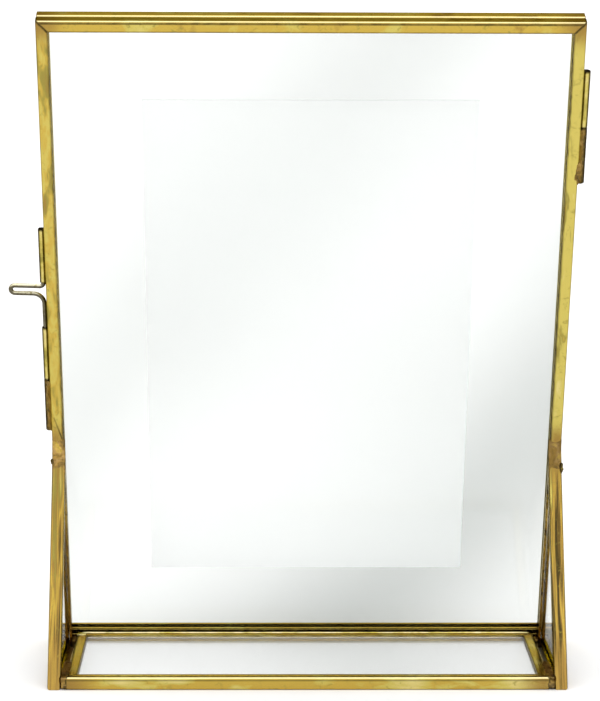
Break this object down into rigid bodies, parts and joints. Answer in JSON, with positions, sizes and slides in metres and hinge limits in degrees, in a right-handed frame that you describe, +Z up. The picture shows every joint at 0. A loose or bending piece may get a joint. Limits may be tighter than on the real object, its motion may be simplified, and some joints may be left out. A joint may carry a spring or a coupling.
{
  "type": "tabletop photo frame",
  "caption": "Leaning two-leaf glazed brass picture frame on a glazed base with triangular sides; the rear leaf opens on a side hinge, held by a sliding hairpin latch.",
  "frame": {"origin": "middle of the underside of the base's front bar, on the surface that the frame stands on", "axes": "+Z up, -Y towards the stand side, +X towards the hinge side"},
  "size_m": [0.1774, 0.0814, 0.2107],
  "materials": {
    "channel_brass": "aged satin",
    "tube_brass": "aged satin",
    "wire_brass": "polished",
    "solder": "heat-darkened",
    "glass": "clear float",
    "card": "matte"
  },
  "bodies": {
    "stand_and_near_leaf": {"near_top_channel": "channel_brass", "near_bottom_channel": "channel_brass", "near_left_channel": "channel_brass", "near_right_channel": "channel_brass", "near_glass": "glass", "insert_card": "card", "hinge_lower_knuckle": "tube_brass", "hinge_pin": "tube_brass", "clasp_lower_tube": "tube_brass", "base_front_channel": "channel_brass", "base_rear_channel": "channel_brass", "base_left_channel": "channel_brass", "base_right_channel": "channel_brass", "base_glass": "glass", "left_leg_channel": "channel_brass", "left_rear_channel": "channel_brass", "left_foot_channel": "channel_brass", "left_side_glass": "glass", "right_leg_channel": "channel_brass", "right_rear_channel": "channel_brass", "right_foot_channel": "channel_brass", "right_side_glass": "glass", "base_corner_solder": "solder", "apex_solder": "solder"},
    "far_leaf": {"far_top_channel": "channel_brass", "far_bottom_channel": "channel_brass", "far_left_channel": "channel_brass", "far_right_channel": "channel_brass", "far_glass": "glass", "hinge_upper_knuckle": "tube_brass", "clasp_upper_tube": "tube_brass", "clasp_middle_tube": "tube_brass"},
    "latch": {"latch_pin": "wire_brass"}
  },
  "joints": [
    {"name": "far_leaf_hinge", "type": "hinge", "parent": "stand_and_near_leaf", "child": "far_leaf", "pos_m": [0.08263, -0.00352, 0.17633], "axis": [0, 0.3338, -0.9426], "range_deg": [0, 175]},
    {"name": "latch_slide", "type": "slide", "parent": "far_leaf", "child": "latch", "axis": [0, 0.3338, -0.9426], "range_m": [0, 0.008]}
  ]
}
